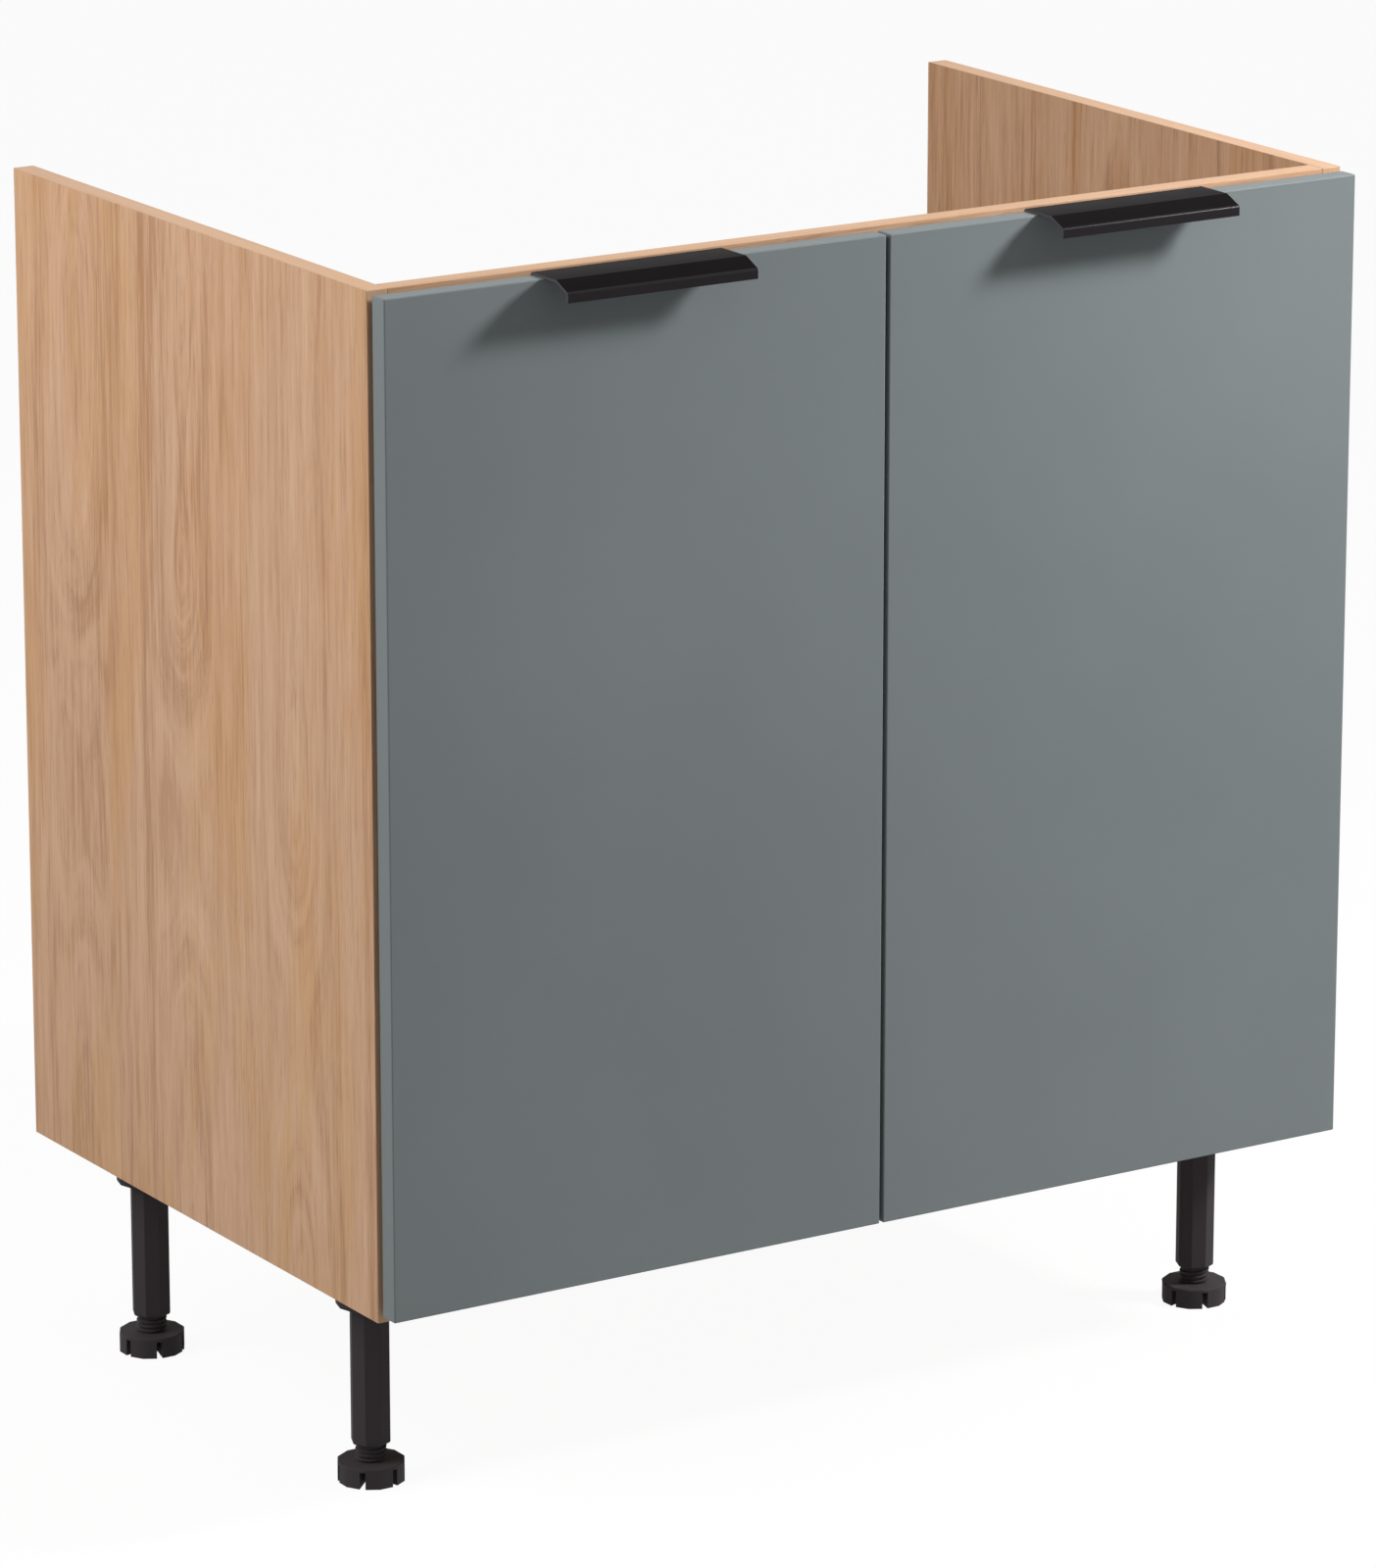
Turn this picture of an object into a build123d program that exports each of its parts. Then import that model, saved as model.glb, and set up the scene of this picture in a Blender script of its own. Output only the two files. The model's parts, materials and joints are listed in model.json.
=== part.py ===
from build123d import *
import math
import os

# Sink base cabinet: an open-topped oak-decor carcass on four screw legs, with two lacquered doors on
# concealed cup hinges and a bent-sheet handle hooked over the top edge of each door.
# X runs to the right, Y to the back and Z up. The origin is on the floor, under the middle of the cabinet.
# Sizes are in millimetres.

# Carcass boards
WIDTH = 800.0
CARCASS_HEIGHT = 720.0
CARCASS_DEPTH = 500.0
BOARD = 16.0
RAIL_HEIGHT = 100.0
REAR_RAIL_DROP = 200.0

# Doors
DOOR_THICKNESS = 16.0
DOOR_GAP = 4.0
SIDE_REVEAL = 1.5
TOP_REVEAL = 2.5
BOTTOM_REVEAL = 5.5
MEETING_GAP = 3.0
DOOR_EDGE_RADIUS = 1.0
BUMPER_RADIUS = 4.0
BUMPER_EDGE_RADIUS = 1.0
BUMPER_INSET = 14.0
BUMPER_BELOW_TOP = 26.0
BUMPER_PLAY = 0.2

# Handles
HANDLE_LENGTH = 150.0
HANDLE_SHEET = 2.0
HANDLE_BACK_LEG = 22.0
HANDLE_OVERHANG = 15.0
HANDLE_SLOPE_RUN = 15.0
HANDLE_SLOPE_DROP = 6.5
HANDLE_LIP = 7.0
HANDLE_BEND = 0.8
HANDLE_CUT_RADIUS = 0.3
HANDLE_SCREW_FROM_END = 27.0
HANDLE_SCREW_RADIUS = 1.6
HANDLE_SCREW_HEAD = 3.2

# Legs
LEG_HEIGHT = 150.0
LEG_FROM_SIDE = 45.0
LEG_FROM_FRONT = 90.0
LEG_FROM_REAR = 90.0
SOCKET_FLANGE_RADIUS = 36.0
SOCKET_FLANGE = 4.0
SOCKET_ACROSS = 47.0
SOCKET_HEIGHT = 20.0
SOCKET_SIDES = 12
SOCKET_TAPER = 3.0
SOCKET_ROOF = 5.0
SOCKET_SCREW_FROM_RIM = 6.0
SOCKET_SCREW_RADIUS = 2.0
SOCKET_SCREW_HEAD = 3.8
SOCKET_SCREWS = 4
TUBE_ACROSS = 26.5
TUBE_SIDES = 8
TUBE_CHAMFER = 1.25
FOOT_ACROSS = 47.0
FOOT_SIDES = 12
FOOT_HEIGHT = 15.0
FOOT_PLATE = 2.5
FOOT_HUB_RADIUS = 8.0
FOOT_SLOTS = 6
FOOT_SLOT_WIDTH = 4.0
FOOT_CHAMFER = 0.8
THREAD_SHOWN = 12.5
THREAD_ENGAGED = 45.0
THREAD_CREST_RADIUS = 11.0
THREAD_DEPTH = 1.6
THREAD_PITCH = 3.5
THREAD_PLAY = 0.1
FOOT_RAISE = 10.0
BORE_SPARE = 5.0

# Board fittings
DOWEL_RADIUS = 4.0
DOWEL_IN_BOARD = 18.0
DOWEL_FLOOR = 4.0
DOWEL_CHAMFER = 1.0
CAM_RADIUS = 7.5
CAM_FLOOR = 3.5
CAM_FROM_END = 34.0
CAM_SLOT = 1.6
CAM_SLOT_DEPTH = 2.0
BOLT_THREAD_RADIUS = 2.5
BOLT_SHANK_RADIUS = 3.0
BOLT_NECK_RADIUS = 2.0
BOLT_HEAD_RADIUS = 3.2
BOLT_HEAD = 2.5
BOLT_NECK = 3.0
FITTING_PITCH = 32.0
BOTTOM_FITTING_FROM_EDGE = 150.0

# Hinges
HINGE_BELOW_RAIL = 34.0
CUP_RADIUS = 17.5
CUP_TAB = 3.0
CUP_FLOOR = 3.5
CUP_WALL = 1.0
CUP_FLANGE = 1.0
CUP_SCREW_SPACING = 48.0
CUP_SCREW_OFFSET = 9.5
CUP_WING_END = 7.0
CUP_WING_EDGE = 5.5
CUP_WING_REACH = CUP_SCREW_SPACING / 2 + CUP_WING_END
CUP_WING_OUT = 4.0
CUP_WING_IN = CUP_SCREW_OFFSET + CUP_WING_EDGE
CUP_SCREW_RADIUS = 1.75
CUP_SCREW_HEAD = 2.7
PIN_RADIUS = 1.25
PIN_PLAY = 0.05
EYE_RADIUS = 2.4
EYE_PLAY = 0.6
SWING_CLEARANCE = 0.8
ARM_HALF_WIDTH = 5.0
ARM_SIDE_PLAY = 0.4
ARM_NECK = 3.6
ARM_NECK_BEND = 1.5
ARM_BODY = 6.0
ARM_BODY_START = 2.0
ARM_BRIDGE = 8.0
ARM_END = 66.0
PLATE_THICKNESS = 4.0
PLATE_START = 28.0
PLATE_HALF_WIDTH = 9.0
PLATE_SCREW_SPACING = 32.0
PLATE_WING_END = 8.0
PLATE_WING_REACH = PLATE_SCREW_SPACING / 2 + PLATE_WING_END
PLATE_WING_HALF = 5.5
PLATE_SCREW_LINE = 37.0
PLATE_SCREW_RADIUS = 2.5
PLATE_SCREW_HEAD = 4.5
ARM_SCREW_LINES = (48.0, 59.0)
ARM_SCREW_RADIUS = 2.0
ARM_SCREW_HEAD = 3.4
ARM_SCREW_HEAD_HEIGHT = 1.8

# Clearance round every screw, dowel and fitting, and wood left behind the tip of a screw
FIT = 0.1
TIP_WOOD = 4.0
RECESS_WIDTH = 0.8
RECESS_DEPTH = 0.9

# Planes that the pieces share
total_depth = CARCASS_DEPTH + DOOR_GAP + DOOR_THICKNESS + HANDLE_OVERHANG + HANDLE_SLOPE_RUN
rear_y = total_depth / 2
front_y = rear_y - CARCASS_DEPTH
door_back_y = front_y - DOOR_GAP
door_front_y = door_back_y - DOOR_THICKNESS
side_outer = WIDTH / 2
side_inner = side_outer - BOARD
carcass_bottom = LEG_HEIGHT
carcass_top = LEG_HEIGHT + CARCASS_HEIGHT
board_mid_z = carcass_bottom + BOARD / 2
rail_bottom = carcass_top - RAIL_HEIGHT
rear_rail_top = carcass_top - REAR_RAIL_DROP
rear_rail_bottom = rear_rail_top - RAIL_HEIGHT
door_top = carcass_top - TOP_REVEAL
door_bottom = carcass_bottom + BOTTOM_REVEAL
hinge_high_z = rail_bottom - HINGE_BELOW_RAIL
hinge_low_z = door_bottom + door_top - hinge_high_z
cup_depth = DOOR_THICKNESS - CUP_FLOOR
fitting_depth = BOARD - CAM_FLOOR

SIDES = {"left": -1, "right": 1}
HINGES = {"upper": hinge_high_z, "lower": hinge_low_z}

# Solids and drilling tools of each node, gathered here and cut at the end
solids = {}
tools = {}


def add(node, *shapes):
    """Add solids to a node."""
    solids.setdefault(node, []).extend(shapes)


def drill(node, *shapes):
    """Note tools that are cut out of a node."""
    tools.setdefault(node, []).extend(shapes)


def block(x, y, z):
    """Box between two places along each axis, given in either order."""
    low = [min(span) for span in (x, y, z)]
    size = [max(span) - min(span) for span in (x, y, z)]
    return Pos(*low) * Box(*size, align=(Align.MIN, Align.MIN, Align.MIN))


def rod(start, direction, radius, length):
    """Round bar from a start point along a direction."""
    bar = Cylinder(radius, length, align=(Align.CENTER, Align.CENTER, Align.MIN))
    return Plane(origin=start, z_dir=direction) * bar


def along(start, direction, distance):
    """Point at a distance from a start point."""
    return tuple(s + d * distance for s, d in zip(start, direction))


def countersunk(start, direction, radius, head_radius, length, grow=0.0):
    """Countersunk screw from the middle of its flat head, or with grow the hole that takes it."""
    head = Cone(
        head_radius + grow,
        radius + grow,
        head_radius - radius,
        align=(Align.CENTER, Align.CENTER, Align.MIN),
    )
    return Plane(origin=start, z_dir=direction) * head + rod(start, direction, radius + grow, length + grow)


def recess(start, direction, head_radius):
    """Cross recess sunk into a screw head."""
    blade = Box(RECESS_WIDTH, head_radius, RECESS_DEPTH, align=(Align.CENTER, Align.CENTER, Align.MIN))
    return Plane(origin=start, z_dir=direction) * (blade + Rot(0, 0, 90) * blade)


def fix(node, holders, start, direction, radius, head_radius, length):
    """Place a countersunk screw in a node and drill the pieces that it holds."""
    screw = countersunk(start, direction, radius, head_radius, length)
    add(node, screw - recess(start, direction, head_radius))
    for holder in holders:
        drill(holder, countersunk(start, direction, radius, head_radius, length, FIT))


def strip(path, thickness, bend, cut_radius):
    """Outline of a bent sheet: the path is its outer side, and the sheet lies to the left of the path."""
    points = [Vector(*point) for point in path]
    normals = []
    for start, end in zip(points, points[1:]):
        run = (end - start).normalized()
        normals.append(Vector(-run.Y, run.X))
    before = [normals[0]] + normals
    after = normals + [normals[-1]]
    inner = [p + (a + b) * (thickness / (1 + a.dot(b))) for p, a, b in zip(points, before, after)]
    bends = len(points) - 2
    outer_radii = [cut_radius] + [bend + thickness] * bends + [cut_radius]
    inner_radii = [cut_radius] + [bend] * bends + [cut_radius]
    corners = [(p.X, p.Y) for p in points + inner[::-1]]
    return corners, outer_radii + inner_radii


def carcass_point(side, inward, back):
    """X and Y of a place given inwards from a side's outer face and backwards from the carcass front."""
    return side * (side_outer - inward), front_y + back


def carcass_block(side, inward, back, z):
    """Box between places given inwards from a side's outer face and backwards from the carcass front."""
    x_low, y_low = carcass_point(side, inward[0], back[0])
    x_high, y_high = carcass_point(side, inward[1], back[1])
    return block((x_low, x_high), (y_low, y_high), z)


# Carcass boards
for name, side in SIDES.items():
    add(
        f"{name}_side_panel",
        block((side * side_inner, side * side_outer), (front_y, rear_y), (carcass_bottom, carcass_top)),
    )
inside = (-side_inner, side_inner)
add("bottom_panel", block(inside, (front_y, rear_y), (carcass_bottom, carcass_bottom + BOARD)))
add("front_rail", block(inside, (front_y, front_y + BOARD), (rail_bottom, carcass_top)))
add("rear_rail", block(inside, (rear_y - BOARD, rear_y), (rear_rail_bottom, rear_rail_top)))


def dowel_joint(side_name, board, y, z):
    """Dowel across the joint between a side panel and the end of a board."""
    side = SIDES[side_name]
    in_side = BOARD - DOWEL_FLOOR
    start = (side * (side_inner - DOWEL_IN_BOARD), y, z)
    direction = (side, 0, 0)
    length = DOWEL_IN_BOARD + in_side
    peg = rod(start, direction, DOWEL_RADIUS, length)
    add("carcass_dowels", chamfer(peg.edges().filter_by(GeomType.CIRCLE), DOWEL_CHAMFER))
    hole_start = (side * (side_inner - DOWEL_IN_BOARD - FIT), y, z)
    hole = rod(hole_start, direction, DOWEL_RADIUS + FIT, length + 2 * FIT)
    drill(board, hole)
    drill(f"{side_name}_side_panel", hole)


def cam_joint(side_name, board, y, z, mouth, into):
    """Cam lock in a board and the bolt that it pulls, screwed into the side panel."""
    side = SIDES[side_name]
    outwards = (side, 0, 0)
    centre_x = side * (side_inner - CAM_FROM_END)
    face = (centre_x, *mouth)
    cam = rod(face, into, CAM_RADIUS - FIT, fitting_depth - FIT)
    blade = Box(CAM_SLOT, CAM_RADIUS, CAM_SLOT_DEPTH, align=(Align.CENTER, Align.CENTER, Align.MIN))
    cross = Plane(origin=face, z_dir=into) * (blade + Rot(0, 0, 90) * blade)
    axis_start = (centre_x, y, z)
    socket = rod(axis_start, outwards, BOLT_HEAD_RADIUS + FIT, CAM_RADIUS)
    head_start = along(axis_start, outwards, FIT)
    neck_start = along(head_start, outwards, BOLT_HEAD)
    shank_start = along(neck_start, outwards, BOLT_NECK)
    thread_start = (side * side_inner, y, z)
    shank_length = abs(thread_start[0] - shank_start[0])
    thread_length = BOARD - TIP_WOOD
    bolt = rod(head_start, outwards, BOLT_HEAD_RADIUS, BOLT_HEAD)
    bolt += rod(neck_start, outwards, BOLT_NECK_RADIUS, BOLT_NECK)
    bolt += rod(shank_start, outwards, BOLT_SHANK_RADIUS, shank_length)
    bolt += rod(thread_start, outwards, BOLT_THREAD_RADIUS, thread_length)
    add("cam_locks", cam - cross - socket)
    add("cam_bolts", bolt)
    drill(board, rod(face, into, CAM_RADIUS, fitting_depth))
    drill(board, rod(axis_start, outwards, BOLT_HEAD_RADIUS + FIT, CAM_FROM_END))
    thread_hole = rod(thread_start, outwards, BOLT_THREAD_RADIUS + FIT, thread_length + FIT)
    drill(f"{side_name}_side_panel", thread_hole)


for side_name in SIDES:
    for edge_y, towards_middle in ((front_y, 1), (rear_y, -1)):
        cam_y = edge_y + towards_middle * BOTTOM_FITTING_FROM_EDGE
        dowel_y = cam_y + towards_middle * FITTING_PITCH
        cam_joint(side_name, "bottom_panel", cam_y, board_mid_z, (cam_y, carcass_bottom), (0, 0, 1))
        dowel_joint(side_name, "bottom_panel", dowel_y, board_mid_z)
    for rail, low_z, mid_y, mouth_y, into_y in (
        ("front_rail", rail_bottom, front_y + BOARD / 2, front_y + BOARD, -1),
        ("rear_rail", rear_rail_bottom, rear_y - BOARD / 2, rear_y - BOARD, 1),
    ):
        cam_z = low_z + RAIL_HEIGHT / 2 + FITTING_PITCH / 2
        cam_joint(side_name, rail, mid_y, cam_z, (mouth_y, cam_z), (0, into_y, 0))
        dowel_joint(side_name, rail, mid_y, cam_z - FITTING_PITCH)


# Legs: socket, tube and screw foot, named by the corner that they stand under
socket_bottom = LEG_HEIGHT - SOCKET_HEIGHT
tube_bottom = FOOT_HEIGHT + THREAD_SHOWN
tube_top = LEG_HEIGHT - SOCKET_ROOF
bore_depth = THREAD_ENGAGED + FOOT_RAISE + BORE_SPARE


def polygon_bar(across, sides, low_z, high_z, taper=0.0):
    """Straight-sided bar on the Z axis, sized across its flats, that narrows downwards by a taper angle."""
    face = Pos(0, 0, high_z) * RegularPolygon(across / 2, sides, major_radius=False)
    return extrude(face, amount=high_z - low_z, dir=(0, 0, -1), taper=taper)


def leg_socket():
    """Twelve-sided socket under a round screw flange, open below for the tube."""
    body = polygon_bar(SOCKET_ACROSS, SOCKET_SIDES, socket_bottom, LEG_HEIGHT - SOCKET_FLANGE, SOCKET_TAPER)
    flange = rod((0, 0, LEG_HEIGHT - SOCKET_FLANGE), (0, 0, 1), SOCKET_FLANGE_RADIUS, SOCKET_FLANGE)
    return body + flange - polygon_bar(TUBE_ACROSS + 2 * FIT, TUBE_SIDES, socket_bottom, tube_top)


def leg_tube():
    """Eight-sided tube with a chamfered lower end, bored for the foot's spindle."""
    bar = polygon_bar(TUBE_ACROSS, TUBE_SIDES, tube_bottom, tube_top)
    bar = chamfer(bar.faces().sort_by(Axis.Z)[0].edges(), TUBE_CHAMFER)
    return bar - rod((0, 0, tube_bottom), (0, 0, 1), THREAD_CREST_RADIUS + THREAD_PLAY, bore_depth)


def thread_outline():
    """Half section of the spindle, with a trapezium for each turn of its thread."""
    root = THREAD_CREST_RADIUS - THREAD_DEPTH
    flank = THREAD_PITCH / 4
    turns = math.floor((THREAD_SHOWN + THREAD_ENGAGED) / THREAD_PITCH)
    points = [(0, FOOT_HEIGHT - FOOT_PLATE / 2), (root, FOOT_HEIGHT - FOOT_PLATE / 2)]
    for turn in range(turns):
        start = FOOT_HEIGHT + turn * THREAD_PITCH
        points.append((root, start + flank))
        points.append((THREAD_CREST_RADIUS, start + 2 * flank))
        points.append((THREAD_CREST_RADIUS, start + 3 * flank))
        points.append((root, start + 4 * flank))
    points.append((0, FOOT_HEIGHT + turns * THREAD_PITCH))
    return [(radius, 0, z) for radius, z in points]


def leg_foot():
    """Slotted twelve-sided disc with its threaded spindle."""
    disc = polygon_bar(FOOT_ACROSS, FOOT_SIDES, 0, FOOT_HEIGHT)
    disc = chamfer(disc.faces().sort_by(Axis.Z)[-1].edges(), FOOT_CHAMFER)
    half_slot = FOOT_SLOT_WIDTH / 2
    slot = block((FOOT_HUB_RADIUS, FOOT_ACROSS), (-half_slot, half_slot), (0, FOOT_HEIGHT - FOOT_PLATE))
    for turn in range(FOOT_SLOTS):
        disc -= Rot(0, 0, turn * 360 / FOOT_SLOTS) * slot
    spindle = revolve(make_face(Polyline(*thread_outline(), close=True)), Axis.Z)
    return disc + spindle


socket = leg_socket()
tube = leg_tube()
foot = leg_foot()
screw_circle = SOCKET_FLANGE_RADIUS - SOCKET_SCREW_FROM_RIM
leg_rows = {"front": (front_y + LEG_FROM_FRONT, 1), "rear": (rear_y - LEG_FROM_REAR, -1)}
for end_name, (leg_y, end) in leg_rows.items():
    for side_name, side in SIDES.items():
        leg_x = side * (side_outer - LEG_FROM_SIDE)
        here = Pos(leg_x, leg_y, 0)
        # A flat of each foot faces the front, and the slots of neighbouring feet mirror each other
        half_flat = Rot(0, 0, side * end * 180 / FOOT_SIDES)
        leg = f"{end_name}_{side_name}_leg"
        add(f"{leg}_socket", here * socket)
        add(f"{leg}_tube", here * tube)
        add(f"{leg}_foot", here * half_flat * foot)
        for turn in range(SOCKET_SCREWS):
            angle = math.radians((turn + 0.5) * 360 / SOCKET_SCREWS)
            screw_x = leg_x + screw_circle * math.cos(angle)
            screw_y = leg_y + screw_circle * math.sin(angle)
            fix(
                "leg_socket_screws",
                (f"{leg}_socket", "bottom_panel"),
                (screw_x, screw_y, LEG_HEIGHT - SOCKET_FLANGE),
                (0, 0, 1),
                SOCKET_SCREW_RADIUS,
                SOCKET_SCREW_HEAD,
                SOCKET_FLANGE + BOARD - TIP_WOOD,
            )


# Doors with their handles and bumpers
door_inner_x = MEETING_GAP / 2
door_outer_x = side_outer - SIDE_REVEAL
handle_top = door_top + HANDLE_SHEET
handle_lip_y = door_front_y - HANDLE_OVERHANG - HANDLE_SLOPE_RUN
handle_lip_top = handle_top - HANDLE_SLOPE_DROP
handle_path = (
    (door_back_y + HANDLE_SHEET, door_top - HANDLE_BACK_LEG),
    (door_back_y + HANDLE_SHEET, handle_top),
    (door_front_y - HANDLE_OVERHANG, handle_top),
    (handle_lip_y, handle_lip_top),
    (handle_lip_y, handle_lip_top - HANDLE_LIP),
)


def handle(middle_x):
    """Bent-sheet edge pull: a leg behind the door, a plate over it, a slope and a lip."""
    corners, radii = strip(handle_path, HANDLE_SHEET, HANDLE_BEND, HANDLE_CUT_RADIUS)
    end_x = middle_x - HANDLE_LENGTH / 2
    outline = FilletPolyline(*[(end_x, y, z) for y, z in corners], radius=radii, close=True)
    return extrude(make_face(outline), amount=HANDLE_LENGTH, dir=(1, 0, 0))


for name, side in SIDES.items():
    door_span = (side * door_inner_x, side * door_outer_x)
    door = block(door_span, (door_front_y, door_back_y), (door_bottom, door_top))
    add(f"{name}_door", fillet(door.edges(), DOOR_EDGE_RADIUS))
    middle_x = side * (door_inner_x + door_outer_x) / 2
    add(f"{name}_handle", handle(middle_x))
    for way in (-1, 1):
        screw_x = middle_x + way * (HANDLE_LENGTH / 2 - HANDLE_SCREW_FROM_END)
        fix(
            f"{name}_handle_screws",
            (f"{name}_handle", f"{name}_door"),
            (screw_x, door_back_y + HANDLE_SHEET, door_top - HANDLE_BACK_LEG / 2),
            (0, -1, 0),
            HANDLE_SCREW_RADIUS,
            HANDLE_SCREW_HEAD,
            HANDLE_SHEET + DOOR_THICKNESS - TIP_WOOD,
        )
    bumper_x = side * (door_inner_x + BUMPER_INSET)
    low_bumper_z = (door_bottom + carcass_bottom + BOARD) / 2
    for bumper_z in (door_top - BUMPER_BELOW_TOP, low_bumper_z):
        pad = rod((bumper_x, door_back_y, bumper_z), (0, 1, 0), BUMPER_RADIUS, DOOR_GAP - BUMPER_PLAY)
        add(f"{name}_door_bumpers", fillet(pad.faces().sort_by(Axis.Y)[-1].edges(), BUMPER_EDGE_RADIUS))


# Hinges. Places are given inwards from the outer face of the side and backwards from the carcass front.
# The pin sits where the door's back corner, as it swings, clears the front of the side panel.
pin_below_back = cup_depth - CUP_WALL - EYE_RADIUS - EYE_PLAY
pin_back = -DOOR_GAP - pin_below_back
corner_radius = -pin_back - SWING_CLEARANCE
pin_from_edge = math.sqrt(corner_radius**2 - pin_below_back**2)
pin_inward = SIDE_REVEAL + pin_from_edge
cup_inward = SIDE_REVEAL + CUP_TAB + CUP_RADIUS
cup_outside = CUP_RADIUS - FIT
cup_inside = cup_outside - CUP_WALL
pin_half_length = math.sqrt(cup_inside**2 - (cup_inward - pin_inward) ** 2)
neck_front = pin_back - EYE_RADIUS + FIT
neck_outer = pin_inward + corner_radius + SWING_CLEARANCE + ARM_NECK
plate_top = BOARD + PLATE_THICKNESS
arm_top = max(plate_top + ARM_BODY, neck_outer)
bridge_low = min(plate_top, neck_outer - ARM_NECK)
bridge_end = ARM_BODY_START + ARM_BRIDGE


def hinge_cup(side, z):
    """Drilled-in cup with two screw wings and a pair of lugs that carry the pin."""
    x, back_y = carcass_point(side, cup_inward, -DOOR_GAP)
    mouth = (x, back_y, z)
    forwards = (0, -1, 0)
    cup = rod(mouth, forwards, cup_outside, cup_depth - FIT)
    wing_span = (cup_inward - CUP_WING_OUT, cup_inward + CUP_WING_IN)
    wing_depth = (-DOOR_GAP, -DOOR_GAP + CUP_FLANGE)
    cup += carcass_block(side, wing_span, wing_depth, (z - CUP_WING_REACH, z + CUP_WING_REACH))
    hollow_start = (x, back_y + CUP_FLANGE, z)
    hollow = rod(hollow_start, forwards, cup_inside, CUP_FLANGE + cup_depth - FIT - CUP_WALL)
    lug_span = (cup_inward - CUP_RADIUS, pin_inward + EYE_RADIUS)
    lug_depth = (-DOOR_GAP - cup_depth + CUP_WALL / 2, pin_back + EYE_RADIUS)
    lug_core = rod(mouth, forwards, cup_outside - CUP_WALL / 2, cup_depth - CUP_WALL / 2)
    cup -= hollow
    for way in (-1, 1):
        reach = (z + way * (ARM_HALF_WIDTH + ARM_SIDE_PLAY), z + way * CUP_RADIUS)
        cup += carcass_block(side, lug_span, lug_depth, reach) & lug_core
    pin_x, pin_y = carcass_point(side, pin_inward, pin_back)
    pin_hole_start = (pin_x, pin_y, z - pin_half_length - FIT)
    pin_hole = rod(pin_hole_start, (0, 0, 1), PIN_RADIUS + FIT / 2, 2 * (pin_half_length + FIT))
    return cup - pin_hole


def hinge_pin(side, z):
    """Pin that the arm's eye turns on."""
    x, y = carcass_point(side, pin_inward, pin_back)
    return rod((x, y, z - pin_half_length), (0, 0, 1), PIN_RADIUS, 2 * pin_half_length)


def hinge_arm(side, z):
    """Arm on the mounting plate, whose cranked neck reaches into the cup and ends in the pin's eye."""
    low_z = z - ARM_HALF_WIDTH
    high_z = z + ARM_HALF_WIDTH
    neck_path = ((pin_inward, neck_front), (neck_outer, neck_front), (neck_outer, bridge_end))
    corners, radii = strip(neck_path, ARM_NECK, ARM_NECK_BEND, 0)
    points = [(*carcass_point(side, inward, back), low_z) for inward, back in corners]
    outline = FilletPolyline(*points, radius=radii, close=True)
    neck = extrude(make_face(outline), amount=high_z - low_z, dir=(0, 0, 1))
    eye_x, eye_y = carcass_point(side, pin_inward, pin_back)
    eye_start = (eye_x, eye_y, low_z)
    arm = neck + rod(eye_start, (0, 0, 1), EYE_RADIUS, high_z - low_z)
    arm += carcass_block(side, (bridge_low, arm_top), (ARM_BODY_START, bridge_end), (low_z, high_z))
    arm += carcass_block(side, (plate_top, arm_top), (ARM_BODY_START, ARM_END), (low_z, high_z))
    return arm - rod(eye_start, (0, 0, 1), PIN_RADIUS + PIN_PLAY, high_z - low_z)


def hinge_plate(side, z):
    """Winged mounting plate on the inner face of a side panel."""
    body = carcass_block(
        side, (BOARD, plate_top), (PLATE_START, ARM_END), (z - PLATE_HALF_WIDTH, z + PLATE_HALF_WIDTH)
    )
    wing_depth = (PLATE_SCREW_LINE - PLATE_WING_HALF, PLATE_SCREW_LINE + PLATE_WING_HALF)
    wing_height = (z - PLATE_WING_REACH, z + PLATE_WING_REACH)
    return body + carcass_block(side, (BOARD, plate_top), wing_depth, wing_height)


def arm_screw(side, back, z):
    """Round-headed screw that holds or adjusts the arm on its plate, with the hole that takes it."""
    x, y = carcass_point(side, arm_top, back)
    head_x, _ = carcass_point(side, arm_top + ARM_SCREW_HEAD_HEIGHT, back)
    into = (side, 0, 0)
    length = arm_top - BOARD
    shank = rod((x, y, z), into, ARM_SCREW_RADIUS, length)
    head = rod((head_x, y, z), into, ARM_SCREW_HEAD, ARM_SCREW_HEAD_HEIGHT)
    hole = rod((x, y, z), into, ARM_SCREW_RADIUS + FIT, length)
    return shank + head - recess((head_x, y, z), into, ARM_SCREW_HEAD), hole


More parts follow.
